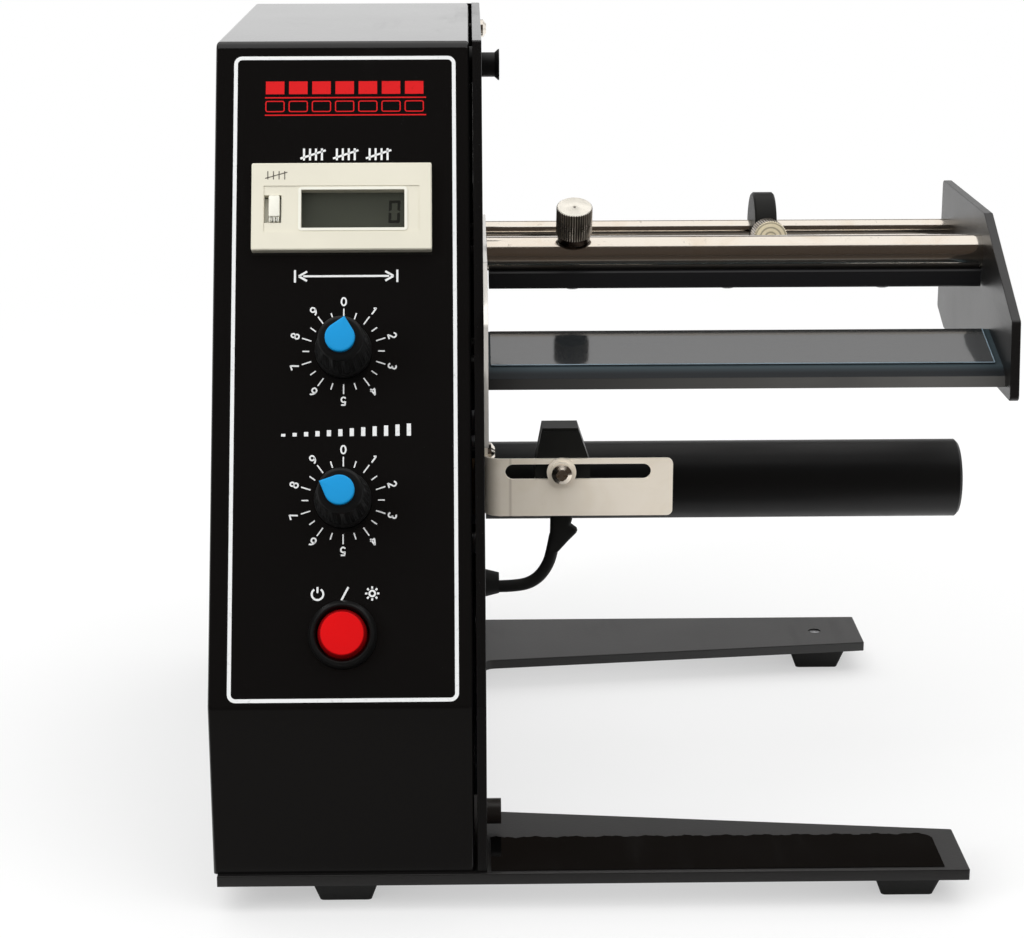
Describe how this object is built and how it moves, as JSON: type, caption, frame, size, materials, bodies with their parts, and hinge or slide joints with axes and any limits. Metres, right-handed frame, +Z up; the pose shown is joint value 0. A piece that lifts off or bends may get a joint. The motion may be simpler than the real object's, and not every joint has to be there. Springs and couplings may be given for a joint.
{
  "type": "label dispenser",
  "caption": "Bench label dispenser: leaning console with counter, dials and lit push button beside a peel plate, guide and press rods, sensor and driven take-up tube.",
  "frame": {"origin": "on the floor, under the middle of the whole machine", "axes": "+X from the console towards the end plate, +Y from the operator's side to the back, +Z up"},
  "size_m": [0.214, 0.207, 0.2191],
  "materials": {
    "black_enamel": "gloss enamel",
    "black_satin_paint": "satin powder coat",
    "black_rubber": "matte",
    "zinc_steel": "zinc plated",
    "black_screws": "black oxide",
    "ivory_plastic": "moulded, fine satin",
    "grey_display": "liquid crystal glass",
    "clear_window": "clear",
    "black_plastic": "moulded satin",
    "blue_plastic": "moulded gloss",
    "red_lens": "translucent gloss",
    "potentiometer_metal": "plated",
    "nickel_plate": "nickel plated",
    "black_anodised": "black anodised",
    "clear_film": "clear sheet",
    "bright_steel": "ground",
    "bearing_bronze": "sintered bronze",
    "gearbox_alloy": "die cast",
    "motor_steel": "plated",
    "board_green": "solder mask"
  },
  "bodies": {
    "root": {"base_angle": "zinc_steel", "base_plate": "black_satin_paint", "button_bezel": "black_plastic", "button_housing": "black_plastic", "button_nut": "black_plastic", "cabinet_shell": "black_enamel", "cable_grommet": "black_rubber", "circuit_board": "board_green", "counter_bezel": "ivory_plastic", "counter_display": "grey_display", "counter_housing": "black_plastic", "counter_window": "clear_window", "end_plate": "black_satin_paint", "end_plate_screws": "black_screws", "foot_screws": "zinc_steel", "gearbox": "gearbox_alloy", "guide_rod": "nickel_plate", "inner_side_plate": "black_satin_paint", "length_potentiometer": "potentiometer_metal", "motor": "motor_steel", "motor_standoffs": "zinc_steel", "peel_film": "clear_film", "peel_plate": "black_anodised", "pot_nuts": "potentiometer_metal", "power_inlet": "black_plastic", "press_bar": "black_anodised", "press_bar_screws": "black_screws", "press_rod": "nickel_plate", "rear_cover": "black_enamel", "rear_cover_screws": "zinc_steel", "rubber_feet": "black_rubber", "sensor_bracket": "nickel_plate", "sensor_cable": "black_rubber", "side_plate_screws": "zinc_steel", "speed_potentiometer": "potentiometer_metal", "spindle_socket": "black_plastic", "transformer": "motor_steel", "wall_bearing": "bearing_bronze", "wall_cap_screw": "black_screws", "wall_plate": "black_satin_paint", "wall_screws": "zinc_steel"},
    "take_up": {"take_up_tube": "black_anodised", "take_up_shaft": "bright_steel", "tube_plugs": "black_anodised", "shaft_collar": "bright_steel"},
    "length_dial": {"length_knob": "black_plastic", "length_knob_cap": "blue_plastic", "length_shaft": "zinc_steel"},
    "speed_dial": {"speed_knob": "black_plastic", "speed_knob_cap": "blue_plastic", "speed_shaft": "zinc_steel"},
    "power_button": {"button_lens": "red_lens"},
    "counter_reset": {"reset_button": "ivory_plastic"},
    "disc_guide": {"guide_disc": "black_plastic"},
    "disc_lock": {"guide_thumb_screw": "nickel_plate"},
    "rod_lock": {"rod_thumb_screw": "nickel_plate"},
    "sensor_unit": {"sensor_head": "black_plastic", "sensor_screw": "nickel_plate", "sensor_washers": "nickel_plate", "sensor_boot": "black_rubber"}
  },
  "joints": [
    {"name": "take_up_turn", "type": "hinge", "parent": "root", "child": "take_up", "pos_m": [0.0345, -0.005, 0.0899], "axis": [1, 0, 0], "continuous": true},
    {"name": "length_dial_turn", "type": "hinge", "parent": "root", "child": "length_dial", "pos_m": [-0.0722, -0.06079, 0.14149], "axis": [0, 0.8988, -0.4384], "range_deg": [-12, 288]},
    {"name": "speed_dial_turn", "type": "hinge", "parent": "root", "child": "speed_dial", "pos_m": [-0.0722, -0.07833, 0.10554], "axis": [0, 0.8988, -0.4384], "range_deg": [-294, 6]},
    {"name": "power_button_press", "type": "slide", "parent": "root", "child": "power_button", "axis": [0, 0.8988, -0.4384], "range_m": [0, 0.002], "stiffness_N_per_m": 400, "springref_m": -0.002},
    {"name": "counter_reset_press", "type": "slide", "parent": "root", "child": "counter_reset", "axis": [0, 0.8988, -0.4384], "range_m": [0, 0.0008], "stiffness_N_per_m": 400, "springref_m": -0.001},
    {"name": "disc_guide_slide", "type": "slide", "parent": "root", "child": "disc_guide", "axis": [1, 0, 0], "range_m": [-0.0765, 0.05]},
    {"name": "disc_lock_turn", "type": "hinge", "parent": "disc_guide", "child": "disc_lock", "pos_m": [0.0486, 0.028, 0.1578], "axis": [0, -0.9981, 0.061], "range_deg": [0, 360]},
    {"name": "rod_lock_turn", "type": "hinge", "parent": "root", "child": "rod_lock", "pos_m": [-0.0097, -0.018, 0.1593], "axis": [0, -0.3987, 0.9171], "range_deg": [0, 360]},
    {"name": "sensor_slide", "type": "slide", "parent": "root", "child": "sensor_unit", "axis": [1, 0, 0], "range_m": [-0.0095, 0.022], "deforming": ["sensor_cable"]}
  ]
}
